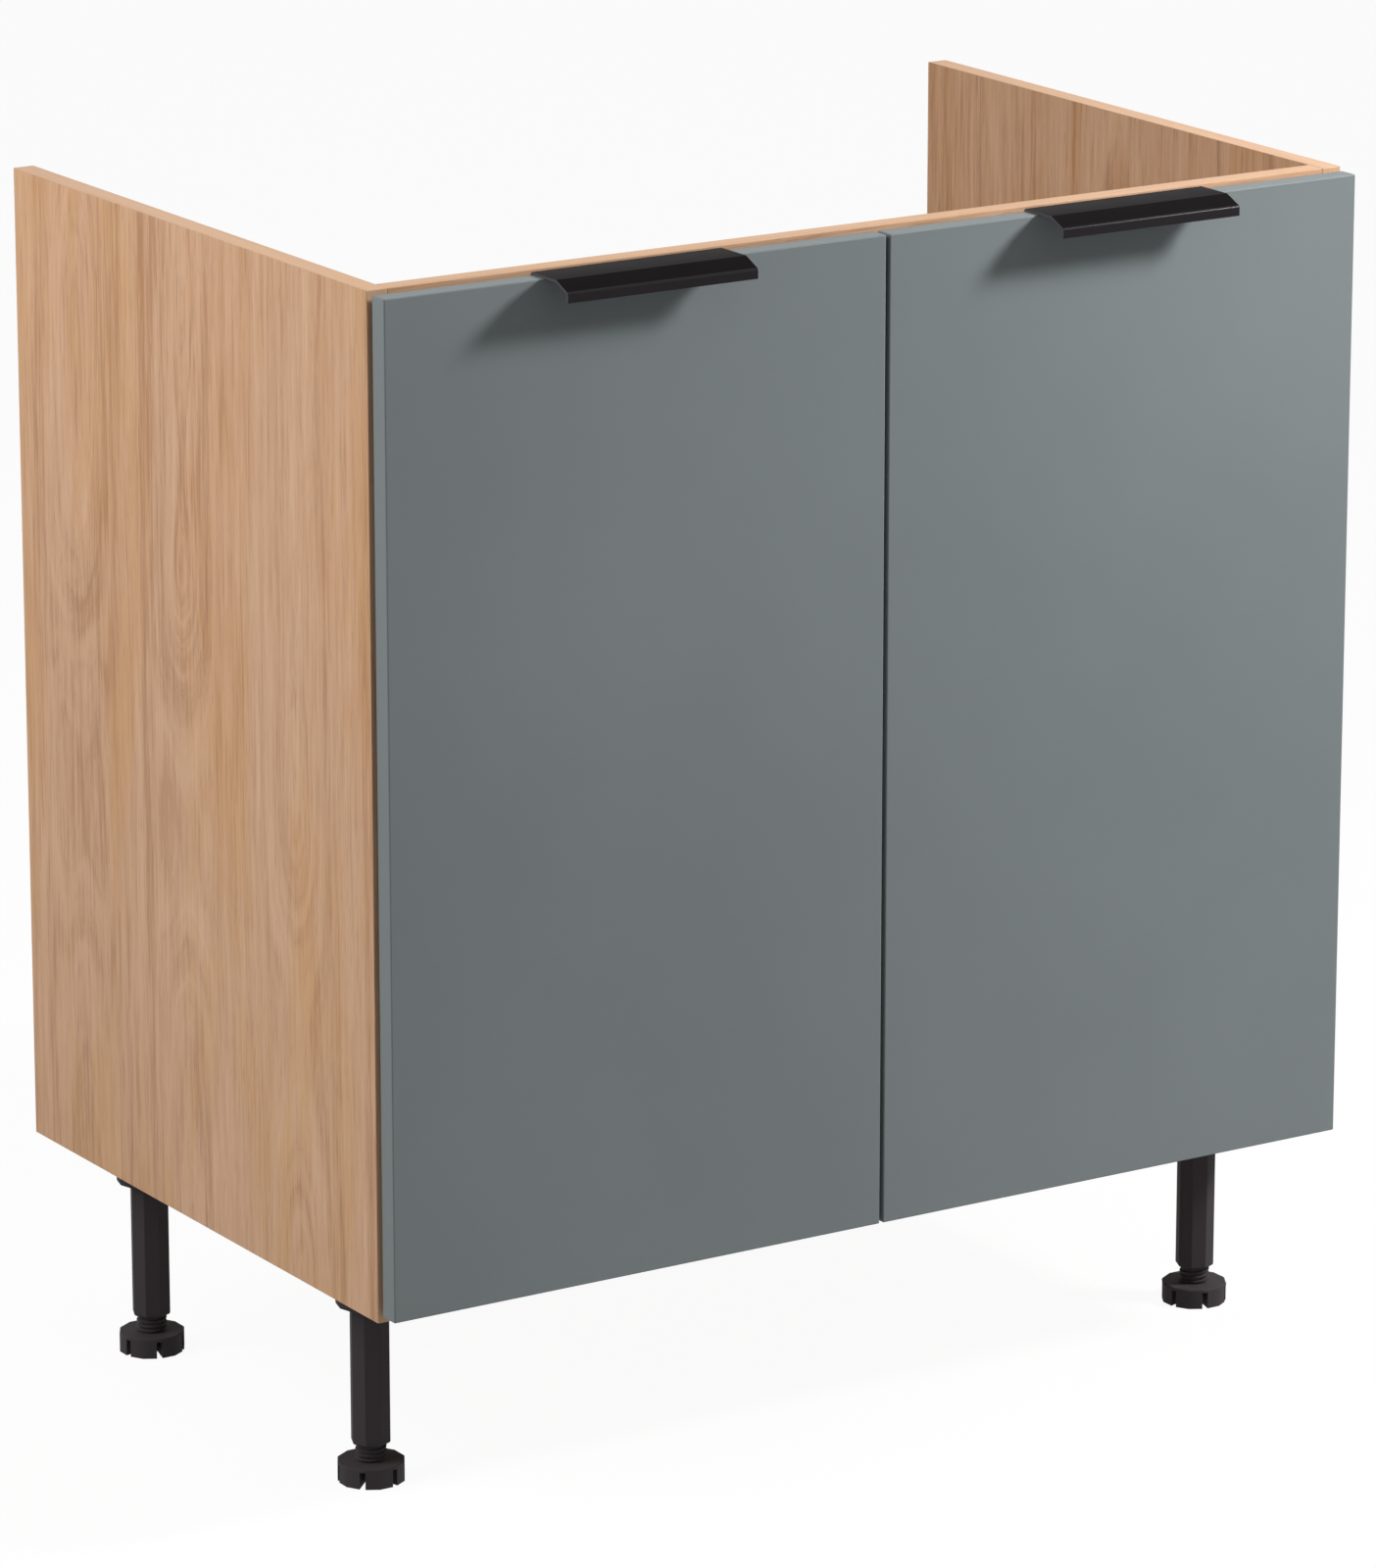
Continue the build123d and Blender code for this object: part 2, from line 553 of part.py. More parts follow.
for side_name, side in SIDES.items():
    for place, z in HINGES.items():
        hinge = f"{side_name}_{place}_hinge"
        add(f"{hinge}_cup", hinge_cup(side, z))
        add(f"{hinge}_pin", hinge_pin(side, z))
        add(f"{hinge}_arm", hinge_arm(side, z))
        add(f"{hinge}_plate", hinge_plate(side, z))
        mouth_x, mouth_y = carcass_point(side, cup_inward, -DOOR_GAP)
        drill(f"{side_name}_door", rod((mouth_x, mouth_y, z), (0, -1, 0), CUP_RADIUS, cup_depth))
        for way in (-1, 1):
            cup_screw_inward = cup_inward + CUP_SCREW_OFFSET
            cup_screw_x, cup_screw_y = carcass_point(side, cup_screw_inward, CUP_FLANGE - DOOR_GAP)
            fix(
                f"{side_name}_hinge_cup_screws",
                (f"{hinge}_cup", f"{side_name}_door"),
                (cup_screw_x, cup_screw_y, z + way * CUP_SCREW_SPACING / 2),
                (0, -1, 0),
                CUP_SCREW_RADIUS,
                CUP_SCREW_HEAD,
                CUP_FLANGE + DOOR_THICKNESS - TIP_WOOD,
            )
            plate_x, plate_y = carcass_point(side, plate_top, PLATE_SCREW_LINE)
            fix(
                "hinge_plate_screws",
                (f"{hinge}_plate", f"{side_name}_side_panel"),
                (plate_x, plate_y, z + way * PLATE_SCREW_SPACING / 2),
                (side, 0, 0),
                PLATE_SCREW_RADIUS,
                PLATE_SCREW_HEAD,
                PLATE_THICKNESS + BOARD - TIP_WOOD,
            )
        for line in ARM_SCREW_LINES:
            screw, hole = arm_screw(side, line, z)
            add("hinge_arm_screws", screw)
            drill(f"{hinge}_arm", hole)
            drill(f"{hinge}_plate", hole)


os.makedirs("parts", exist_ok=True)
for node, shapes in solids.items():
    if node in tools:
        shapes = [shape - tools[node] for shape in shapes]
    pieces = [solid for shape in shapes for solid in shape.solids()]
    export_step(Compound(children=pieces), f"parts/{node}.step")
    print(node, len(pieces), "solid" if len(pieces) == 1 else "solids")

print("pin inwards", round(pin_inward, 3), "pin backwards", round(pin_back, 3))
print("carcass front", round(front_y, 3), "hinge heights", round(hinge_high_z, 3), round(hinge_low_z, 3))
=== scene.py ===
# %% [markdown]
# # A sink base cabinet, dressed
# The cabinet's boards, doors, hinges, legs and handles come from a measured model that is already in
# place. This notebook gives every surface its finish, rounds the edges that a cutter or a mould would leave
# rounded, and sets up the light and the camera. Lengths are in metres, and +Z points up.

# %% Load the measured model
import bmesh
import bpy
import json
import math
import numpy as np
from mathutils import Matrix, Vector


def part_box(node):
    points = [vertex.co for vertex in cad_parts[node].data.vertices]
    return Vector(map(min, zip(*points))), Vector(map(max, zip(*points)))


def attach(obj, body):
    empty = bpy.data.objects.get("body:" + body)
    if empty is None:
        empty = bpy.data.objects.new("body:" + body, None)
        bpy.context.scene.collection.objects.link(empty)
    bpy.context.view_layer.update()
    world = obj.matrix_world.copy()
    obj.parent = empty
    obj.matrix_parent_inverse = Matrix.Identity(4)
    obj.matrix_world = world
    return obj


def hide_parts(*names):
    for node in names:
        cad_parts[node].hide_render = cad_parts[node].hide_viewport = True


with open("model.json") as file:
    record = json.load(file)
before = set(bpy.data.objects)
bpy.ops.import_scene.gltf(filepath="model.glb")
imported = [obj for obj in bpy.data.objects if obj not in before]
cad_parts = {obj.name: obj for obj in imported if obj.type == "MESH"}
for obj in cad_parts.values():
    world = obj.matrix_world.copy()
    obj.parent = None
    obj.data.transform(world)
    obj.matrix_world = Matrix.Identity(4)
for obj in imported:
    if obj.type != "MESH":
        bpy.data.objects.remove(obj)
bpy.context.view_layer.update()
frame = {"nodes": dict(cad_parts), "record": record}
record = frame["record"]
node_slot = {part["node"]: part["material_slot"] for part in record["subparts"]}
node_body = {node: body for body, nodes in record["behaviour"]["bodies"].items() for node in nodes}
MM = 0.001

# %% [markdown]
# ## The camera
# The photograph was taken from a little above the worktop's height, well to the left of the doors, with a
# long lens from some metres away. A short lens close by would make the near corner swell, so the lens stays
# long. The camera circles a point near the cabinet's middle, at an azimuth from the front and a height angle.

# %% Camera at the photograph's angle
VIEW_TARGET = Vector((-0.079, -0.114, 0.459))
VIEW_DISTANCE = 5.53
VIEW_AZIMUTH = math.radians(-32.35)
VIEW_HEIGHT = math.radians(15.54)
VIEW_LENS_MM = 180.0


def around(target, distance, azimuth, height):
    """Point at a distance from a target.

    Azimuth is an angle that turns from the front, -Y, towards +X. Height is an angle above the level.
    """
    flat = math.cos(height)
    direction = Vector((math.sin(azimuth) * flat, -math.cos(azimuth) * flat, math.sin(height)))
    return target + distance * direction


def stand(name, data):
    """New object that shows the data, in the scene and at the origin."""
    thing = bpy.data.objects.new(name, data)
    bpy.context.scene.collection.objects.link(thing)
    return thing


camera_data = bpy.data.cameras.new("view")
camera_data.lens = VIEW_LENS_MM
camera = stand("view", camera_data)
camera.location = around(VIEW_TARGET, VIEW_DISTANCE, VIEW_AZIMUTH, VIEW_HEIGHT)
camera.rotation_euler = (math.radians(90) - VIEW_HEIGHT, 0, VIEW_AZIMUTH)
bpy.context.scene.camera = camera
print("camera stands at", [round(value, 2) for value in camera.location])

# %% [markdown]
# ## Shader sums as Python sums
# A material is a graph of nodes, and a sum such as 1 - mask * 0.3 takes two Math nodes and three links.
# Wiring them by hand hides the formula. Here one small class wraps a node's output socket, and its operators
# add the Math nodes, so that the formula can be read. One method adds any other node: first the node's
# settings, then its sockets, each with a link from a shader value or with a number or colour of its own.

# %% A value in a shader
def dress(node, sockets):
    """Set a node's sockets: a shader value by a link, a number or a colour on the socket itself."""
    for name, value in sockets.items():
        if isinstance(value, Tint):
            node.id_data.links.new(value.socket, node.inputs[name])
        else:
            node.inputs[name].default_value = value


class Tint:
    """One output socket of a shader node. Arithmetic on it adds Math nodes to the same material."""

    def __init__(self, socket):
        self.socket = socket

    def node(self, kind, settings, sockets, output=0):
        """New node of a kind in the same material: its settings, then its sockets."""
        made = self.socket.id_data.nodes.new(kind)
        for name, setting in settings.items():
            setattr(made, name, setting)
        dress(made, sockets)
        return Tint(made.outputs[output])

    def math(self, operation, *terms):
        """Math node on this value and further terms."""
        return self.node("ShaderNodeMath", {"operation": operation}, dict(enumerate((self, *terms))))

    def __add__(self, other):
        return self.math("ADD", other)

    __radd__ = __add__

    def __sub__(self, other):
        return self.math("SUBTRACT", other)

    def __rsub__(self, other):
        return self.math("MULTIPLY_ADD", -1.0, other)

    def __mul__(self, other):
        return self.math("MULTIPLY", other)

    __rmul__ = __mul__


print("operators ready:", "+ - *")

# %% [markdown]
# A few patterns come back in every finish: noise that is stretched along one direction, a soft step from 0
# to 1, a blend of two colours and a bump. Each takes a node or two, so each is one short function. Colours
# are written as screen values from 0 to 255, and turned into the linear light values that a shader needs.

# %% Colours, and places on a piece
SCREEN_LEVELS = 255
SCREEN_OFFSET = 0.055
SCREEN_POWER = 2.4


def linear(red, green, blue):
    """Linear colour from screen values: each level's share of white, with an offset, to a power."""
    shares = (np.array([red, green, blue]) / SCREEN_LEVELS + SCREEN_OFFSET) / (1 + SCREEN_OFFSET)
    return (*(shares**SCREEN_POWER).tolist(), 1.0)


def new_finish(name):
    """New material, its shader, and a value to start from: the place on the piece."""
    material = bpy.data.materials.new(name)
    material.use_nodes = True
    shader = material.node_tree.nodes["Principled BSDF"]
    place = Tint(shader.outputs[0]).node("ShaderNodeTexCoord", {}, {}, "Object")
    return material, shader, place


def outward(place):
    """Direction that the surface faces, in the piece's own axes."""
    return place.node("ShaderNodeTexCoord", {}, {}, "Normal")


def coordinate(vector, axis):
    """One coordinate of a vector."""
    return vector.node("ShaderNodeSeparateXYZ", {}, {"Vector": vector}, axis)


def at(x, y, z):
    """Vector of three values, of which the first is a shader value."""
    return x.node("ShaderNodeCombineXYZ", {}, {"X": x, "Y": y, "Z": z})


def scaled(place, x, y, z):
    """Place with each of its coordinates multiplied."""
    return place.node("ShaderNodeVectorMath", {"operation": "MULTIPLY"}, {0: place, 1: (x, y, z)})


finishes = {}
print("linear mid grey", round(linear(128, 128, 128)[0], 3))


# %% Patterns that the finishes share
def noise(place, detail=2.0, roughness=0.5):
    """Cloudy noise from 0 to 1 at a place."""
    sockets = {"Vector": place, "Scale": 1.0, "Detail": detail, "Roughness": roughness}
    return place.node("ShaderNodeTexNoise", {"noise_dimensions": "3D"}, sockets)


def swing(value, amount):
    """Value from 0 to 1, turned into one that swings about 0 by an amount in all."""
    return (value - 0.5) * amount


def step(value, low, high):
    """Soft step from 0, at or below low, to 1, at or above high."""
    sockets = {"Value": value, "From Min": low, "From Max": high}
    return value.node("ShaderNodeMapRange", {"interpolation_type": "SMOOTHSTEP"}, sockets)


def blend(factor, first, second, way="MIX"):
    """Colour between two colours, or towards their product with way MULTIPLY."""
    settings = {"data_type": "RGBA", "blend_type": way, "clamp_factor": True}
    return factor.node("ShaderNodeMix", settings, {0: factor, 6: first, 7: second}, 2)


def bump(height, depth, strength):
    """Normal tilted as by a relief of a depth in metres."""
    return height.node("ShaderNodeBump", {}, {"Height": height, "Distance": depth, "Strength": strength})


print("patterns ready:", [pattern.__name__ for pattern in (noise, swing, step, blend, bump)])

# %% [markdown]
# ## Oak decor
# The boards are faced with a printed oak decor, and their edges carry a narrow band of the same print that
# runs along the edge. A photograph of oak would do it, but a formula works at any size and never repeats. A
# saw cuts a trunk's growth rings as straight lines, and as ovals and arches where it passes near the heart.
# So each place gets the number of its growth ring, counted from the nearest heart, and the tones of the wood
# follow that number. Fibres, streaks and pores are noise, stretched far along the grain.

# %% Which way the grain runs on a face or an edge
PRINT_START = -0.400
PRINT_SHIFT = 37.0
FACES_AXIS = (0.6, 0.8)


def grain_places(place, grain, width, through):
    """Places across and along the grain, and 1 on the board's broad faces.

    On a broad face the grain runs along the grain axis. On a long edge it does too, and the through axis
    lies across it. On an end the edge band runs along the width axis. Each broad face shows another stretch
    of the print, because its own place on the through axis, counted from the left side's outer face,
    shifts it.
    """
    facing = outward(place)
    where = {axis: coordinate(place, axis) for axis in "XYZ"}
    on_face = step(coordinate(facing, through).math("ABSOLUTE"), *FACES_AXIS)
    on_end = step(coordinate(facing, grain).math("ABSOLUTE"), *FACES_AXIS)
    across = where[through] + (where[width] - where[through]) * on_face
    lengthwise = where[grain] + (where[width] - where[grain]) * on_end
    shift = (where[through] - PRINT_START) * on_face * PRINT_SHIFT
    return across, lengthwise + shift, on_face


print("print moves along by", PRINT_SHIFT, "times a face's place through the board")

# %% Growth rings that bend into arches
RINGS_PER_METRE = 30.0
HEART_SPACING = 0.155
HEART_CORE = 0.020
HEART_DRIFT = 0.22
HEART_WANDER = 0.05
WANDERS_PER_METRE = 1.6
DRIFTS_PER_METRE = 2.0
HEART_STRIDE = 5.3
TWISTS = (20.0, 3.0)
FRAYS = (520.0, 24.0)


def drawn_out(across, lengthwise, per_metre, seed, detail, roughness=0.5):
    """Noise with so many marks to the metre across the grain, and so many along it."""
    return noise(at(across * per_metre[0], lengthwise * per_metre[1], seed), detail, roughness)


def growth_rings(across, lengthwise, seed):
    """Number of the growth ring at a place, and 1 near a heart.

    Rings are tubes round a log's heart. A flat cut meets the ring whose radius is the root of the heart's
    depth squared plus the distance aside squared. The depth drifts along the grain, which draws nested
    arches, and ovals where it passes through nothing. It fades out halfway between two hearts, so that
    neighbours meet there. Noise that is drawn out along the fibres frays the lines.
    """
    wander = swing(noise(at(lengthwise * WANDERS_PER_METRE, seed, 0.0)), HEART_WANDER)
    column = (across + wander) * (1 / HEART_SPACING) + seed
    row = column.math("FLOOR")
    aside = (column - row - 0.5) * HEART_SPACING
    near = 1.0 - step(aside.math("ABSOLUTE"), HEART_CORE, HEART_SPACING / 2)
    heart = at(row * HEART_STRIDE, lengthwise * DRIFTS_PER_METRE, seed + 9.0)
    depth = swing(noise(heart, 1.0), HEART_DRIFT) * near
    ring = (aside * aside + depth * depth).math("SQRT") * RINGS_PER_METRE
    twist = drawn_out(across, lengthwise, TWISTS, seed + 4.0, 2.0)
    fray = drawn_out(across, lengthwise, FRAYS, seed + 10.0, 2.0, 0.6)
    return ring + swing(twist, 0.2) + swing(fray, 0.15), near


print("hearts", HEART_SPACING, "m apart, with", RINGS_PER_METRE, "rings to the metre")

# %% The oak finish
OAK_DARK = linear(176, 133, 101)
OAK_MIDDLE = linear(203, 162, 130)
OAK_PALE = linear(214, 176, 145)
OAK_HONEY = linear(249, 238, 205)
OAK_PORE = linear(150, 108, 78)
OAK_BAND = linear(208, 171, 140)
STREAKS = (75.0, 2.2)
FIBRES = (420.0, 15.0)
PORES = (1100.0, 55.0)
TONES_ACROSS = 7.0
HONEY_ACROSS = 8.0
HONEY_ALONG = 1.2


def oak(name, grain, width, through, seed):
    """Oak decor with the grain along one axis of the board.

    The tone is a sum of swings: broad and fine ones that follow the rings, fibres and streaks. It picks a
    colour from dark through middle to pale. Honey patches, pores and the edge band come on top.
    """
    material, shader, place = new_finish(name)
    across, lengthwise, on_face = grain_places(place, grain, width, through)
    rings, arched = growth_rings(across, lengthwise, seed)
    broad = noise(at(rings * 0.8, lengthwise * 0.6, across * TONES_ACROSS + seed), 3.0, 0.65)
    fine = noise(at(rings * 4.5, lengthwise * 1.8, across * TONES_ACROSS + (seed + 2.0)), 4.0, 0.72)
    streak = drawn_out(across, lengthwise, STREAKS, seed + 7.0, 3.0, 0.72)
    fibre = drawn_out(across, lengthwise, FIBRES, seed + 3.0, 3.0, 0.6)
    dash = drawn_out(across, lengthwise, PORES, seed + 5.0, 1.0)
    warm = at(across * HONEY_ACROSS + rings * 0.15, lengthwise * HONEY_ALONG, seed + 6.0)
    honey = step(noise(warm, 5.0, 0.75), 0.42, 0.60)
    tone = 0.5 + swing(broad, 1.1) + swing(fine, 0.75 + arched * 0.4) + swing(fibre, 1.15)
    tone = tone + swing(streak, 0.72 - arched * 0.45)
    colour = blend(step(tone, 0.05, 0.55), OAK_DARK, OAK_MIDDLE)
    colour = blend(step(tone, 0.45, 0.95), colour, OAK_PALE)
    colour = blend(honey * 0.62, colour, OAK_HONEY, "MULTIPLY")
    pore = step(dash + (0.5 - fine) * 0.5, 0.58, 0.78)
    colour = blend(pore * 0.3, colour, OAK_PORE)
    colour = blend((1.0 - on_face) * 0.55, colour, OAK_BAND)
    relief = bump(fibre * 0.5 - pore * 0.5, 0.05 * MM, 0.5)
    dress(shader, {"Base Color": colour, "Roughness": 0.52 + swing(fibre, 0.16), "Normal": relief})
    dress(shader, {"Specular IOR Level": 0.2})
    return material


finishes["oak_board"] = oak("oak_upright", grain="Z", width="Y", through="X", seed=0.3)
oak_rail = oak("oak_rail", grain="X", width="Z", through="Y", seed=2.6)
oak_bottom = oak("oak_bottom", grain="X", width="Y", through="Z", seed=5.1)
print("oak finishes", [finishes["oak_board"].name, oak_rail.name, oak_bottom.name])

# %% [markdown]
# ## Door lacquer
# The doors are a flat grey-green with a fine, dead-matt skin. A single colour would look like plastic in a
# drawing, so the lacquer gets the two things that a sprayed skin has: a fine orange-peel relief, far smaller
# than a millimetre, and a slow drift in its sheen and its tone from one hand's width to the next.

# %% The lacquer finish
LACQUER = linear(123, 130, 131)
LACQUER_DEEP = linear(118, 125, 126)
LACQUER_DRIFTS = 3.0
LACQUER_PEEL = 900.0


def lacquer(name):
    """Matt sprayed lacquer: slow drift in tone and sheen, fine relief."""
    material, shader, place = new_finish(name)
    drift = noise(scaled(place, LACQUER_DRIFTS, LACQUER_DRIFTS, LACQUER_DRIFTS), 3.0)
    peel = noise(scaled(place, LACQUER_PEEL, LACQUER_PEEL, LACQUER_PEEL), 2.0)
    colour = blend(step(drift, 0.3, 0.7), LACQUER_DEEP, LACQUER)
    dress(shader, {"Base Color": colour, "Roughness": 0.50 + swing(drift, 0.10)})
    dress(shader, {"Normal": bump(peel, 0.02 * MM, 0.35), "Specular IOR Level": 0.2})
    return material


finishes["door_lacquer"] = lacquer("door_lacquer")
print("lacquer", [round(value, 3) for value in LACQUER[:3]])

# %% [markdown]
# ## Black handles and black legs
# The handles are bent sheet with a smooth black coating, glossy enough to show a line of light along each
# bend. The legs are moulded plastic: the mould's fine spark-eroded grain scatters the light, so they look
# duller and a little greyer. Both are nearly the same colour, so roughness and relief tell them apart.

# %% Handle coating
HANDLE_BLACK = linear(25, 22, 23)
HANDLE_DEEP = linear(21, 18, 19)
# painted sheen: the next colour is the lip's, made paler to stand in for a lamp's broad reflection on it
HANDLE_LIP_SHEEN = linear(37, 33, 36)
# painted highlight: the next colour is the cut ends', made paler to stand in for light glinting off them
HANDLE_CUT_HIGHLIGHT = linear(84, 80, 82)
FACES_SIDE = (0.5, 0.8)
FACES_FRONT = (0.92, 0.99)
FACES_FORWARD = (0.45, 0.6)


def coating(name):
    """Black coating on sheet: fine flow marks along it, glossier bends and lip, a painted sheen on the lip
    and a painted highlight on the cut ends.
    """
    material, shader, place = new_finish(name)
    facing = outward(place)
    cut = step(coordinate(facing, "X").math("ABSOLUTE"), *FACES_SIDE)
    forwards = coordinate(facing, "Y") * -1.0
    lip = step(forwards, *FACES_FRONT)
    bend = step(forwards, *FACES_FORWARD) * (1.0 - lip)
    flow = noise(scaled(place, 60.0, 900.0, 900.0), 3.0)
    cloud = noise(scaled(place, 40.0, 40.0, 40.0), 2.0)
    colour = blend(cloud, HANDLE_DEEP, HANDLE_BLACK)
    # painted sheen: the lip's colour is made paler where a lamp's broad reflection would lie
    colour = blend(lip * 0.8, colour, HANDLE_LIP_SHEEN)
    # painted highlight: every end face of the sheet is made paler, standing in for light glinting off the cut
    colour = blend(cut, colour, HANDLE_CUT_HIGHLIGHT)
    dress(shader, {"Base Color": colour, "Roughness": 0.30 + swing(cloud, 0.12) + swing(flow, 0.05)})
    dress(shader, {"Normal": bump(flow, 0.01 * MM, 0.25), "Specular IOR Level": 0.002})
    dress(shader, {"Coat Weight": 0.03 + bend * 0.3 + lip * 0.15, "Coat Roughness": 0.2})
    return material


finishes["handle_black"] = coating("handle_black")
print("handle finish", finishes["handle_black"].name)

# %% Leg plastic
LEG_BLACK = linear(54, 49, 52)
LEG_SCUFF = linear(66, 60, 64)
LEG_GRAIN = 1400.0


def moulded(name):
    """Black moulded plastic: spark-eroded grain and faint pale scuffs."""
    material, shader, place = new_finish(name)
    grain = noise(scaled(place, LEG_GRAIN, LEG_GRAIN, LEG_GRAIN), 2.0, 0.6)
    scuff = step(noise(scaled(place, 90.0, 90.0, 25.0), 4.0, 0.65), 0.55, 0.8)
    dress(shader, {"Base Color": blend(scuff * 0.6, LEG_BLACK, LEG_SCUFF)})
    dress(shader, {"Roughness": 0.80 + scuff * 0.10 + swing(grain, 0.10)})
    dress(shader, {"Normal": bump(grain, 0.03 * MM, 0.4), "Specular IOR Level": 0.3})
    return material


finishes["leg_plastic"] = moulded("leg_plastic")
print("leg finish", finishes["leg_plastic"].name)

# %% [markdown]
# ## Metal and small parts
# The hinges are nickel-plated steel, the screws are zinc plated and the cam locks are zinc castings. All
# three are metals, whose colour is the colour of their reflection, so what differs is how rough they are and
# which marks they carry: polishing lines, a bluish plating or the pitted skin of a casting. The beech dowels
# and the soft door bumpers are hidden while the doors are shut, and still get their own fibres and dust.

# %% Plated and cast metal
METAL_MARKS = 1500.0
METAL_DRIFTS = 120.0
NICKEL = {"dark": linear(196, 192, 184), "pale": linear(214, 211, 204)}
STEEL = {"dark": linear(182, 186, 192), "pale": linear(204, 208, 212)}
ZINC = {"dark": linear(158, 160, 163), "pale": linear(182, 184, 186)}


def metal(name, dark, pale, rough, lines, pits):
    """Metal whose tone drifts, with fine marks: lines stretch them along Z, pits gives their depth."""
    material, shader, place = new_finish(name)
    marks = noise(scaled(place, METAL_MARKS, METAL_MARKS, METAL_MARKS / lines), 3.0, 0.6)
    drift = noise(scaled(place, METAL_DRIFTS, METAL_DRIFTS, METAL_DRIFTS), 2.0)
    dress(shader, {"Base Color": blend(drift, dark, pale), "Metallic": 1.0})
    dress(shader, {"Roughness": rough + swing(marks, 0.16) + swing(drift, 0.08)})
    dress(shader, {"Normal": bump(marks, pits, 0.4)})
    return material


finishes["hinge_nickel"] = metal("hinge_nickel", **NICKEL, rough=0.26, lines=8.0, pits=0.01 * MM)
finishes["screw_steel"] = metal("screw_steel", **STEEL, rough=0.32, lines=1.0, pits=0.01 * MM)
finishes["cam_zinc"] = metal("cam_zinc", **ZINC, rough=0.46, lines=1.0, pits=0.04 * MM)
print("metals", [finishes[name].name for name in ("hinge_nickel", "screw_steel", "cam_zinc")])

# %% Beech dowels and rubber bumpers
BEECH_DARK = linear(196, 158, 118)
BEECH_PALE = linear(220, 186, 148)
BEECH_FLECK = linear(150, 104, 70)
RUBBER_DARK = linear(176, 178, 178)
RUBBER_PALE = linear(204, 206, 206)
RUBBER_DUST = 700.0


def beech(name):
    """Pale beech with short dark flecks along the dowel."""
    material, shader, place = new_finish(name)
    fleck = step(noise(scaled(place, 180.0, 1600.0, 1600.0), 2.0), 0.56, 0.7)
    fibre = noise(scaled(place, 40.0, 900.0, 900.0), 3.0)
    colour = blend(fleck * 0.5, blend(fibre, BEECH_DARK, BEECH_PALE), BEECH_FLECK)
    dress(shader, {"Base Color": colour, "Roughness": 0.6 + fleck * 0.1})
    dress(shader, {"Normal": bump(fibre, 0.05 * MM, 0.4)})
    return material


def silicone(name):
    """Soft grey silicone with dust in its skin."""
    material, shader, place = new_finish(name)
    dust = noise(scaled(place, RUBBER_DUST, RUBBER_DUST, RUBBER_DUST), 3.0)
    dress(shader, {"Base Color": blend(dust, RUBBER_DARK, RUBBER_PALE)})
    dress(shader, {"Roughness": 0.34 + dust * 0.2, "Normal": bump(dust, 0.02 * MM, 0.3)})
    return material


finishes["dowel_beech"] = beech("dowel_beech")
finishes["bumper_rubber"] = silicone("bumper_rubber")
print("finishes", len(finishes))

# %% Put the finishes on the measured pieces
node_finish = {node: finishes[slot] for node, slot in node_slot.items()}
node_finish.update({"front_rail": oak_rail, "rear_rail": oak_rail, "bottom_panel": oak_bottom})
for node, piece in frame["nodes"].items():
    piece.material_slots[0].material = node_finish[node]
print("dressed", len(node_finish), "pieces")

# %% [markdown]
# ## Rounded edges
# No real edge is perfectly sharp. A banded board is eased by a fraction of a millimetre, and that tiny round
# catches a line of light, or shows as a dark groove where two boards meet. Moving points by hand would be
# endless, so each sharp piece is copied, its loose triangles are merged into flat faces, and a Bevel
# modifier rounds every edge that turns by more than a set angle. The copy then stands for the measured piece.

# %% A piece from points and faces, and its rounded edges
MERGE_DISTANCE = 0.002 * MM
FLAT_ANGLE = math.radians(0.5)
SHARP = math.radians(35)


def piece_from(name, points, faces, clean, finish, sharp):
    """Piece from points and faces: near points are merged, and clean works on the joined mesh."""
    mesh = bpy.data.meshes.new(name)
    mesh.from_pydata(points, [], faces)
    joined = bmesh.new()
    joined.from_mesh(mesh)
    bmesh.ops.remove_doubles(joined, verts=joined.verts, dist=MERGE_DISTANCE)
    clean(joined)
    joined.to_mesh(mesh)
    joined.free()
    mesh.shade_smooth()
    mesh.set_sharp_from_angle(angle=sharp)
    mesh.materials.append(finish)
    return stand(name, mesh)


def flatten(joined):
    """Merge the triangles that lie in one plane."""
    bmesh.ops.dissolve_limit(joined, angle_limit=FLAT_ANGLE, verts=joined.verts, edges=joined.edges)


def round_edges(piece, radius, segments, sharp):
    """Bevel modifier on the edges that turn by more than an angle."""
    rounding = piece.modifiers.new("eased edges", "BEVEL")
    rounding.width = radius
    rounding.segments = segments
    rounding.limit_method = "ANGLE"
    rounding.angle_limit = sharp
    rounding.use_clamp_overlap = False
    rounding.loop_slide = False
    rounding.harden_normals = True


print("points within", MERGE_DISTANCE / MM, "mm are merged")

# %% Copy the boards with eased edges
EASE_SEGMENTS = 3
BOARD_EASE = 0.5 * MM


def eased(node, radius, sharp=SHARP):
    """Copy of a measured piece with its sharp edges rounded."""
    source = frame["nodes"][node].data
    points = np.empty(len(source.vertices) * 3, np.float32)
    corners = np.empty(len(source.loops), np.int32)
    source.vertices.foreach_get("co", points)
    source.loops.foreach_get("vertex_index", corners)
    triangles = corners.reshape(-1, 3)
    piece = piece_from(f"{node}_eased", points.reshape(-1, 3), triangles, flatten, node_finish[node], sharp)
    round_edges(piece, radius, EASE_SEGMENTS, sharp)
    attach(piece, node_body[node])
    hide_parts(node)


for board in ("left_side_panel", "right_side_panel", "front_rail", "rear_rail", "bottom_panel"):
    eased(board, BOARD_EASE)
print("boards eased by", BOARD_EASE / MM, "mm")

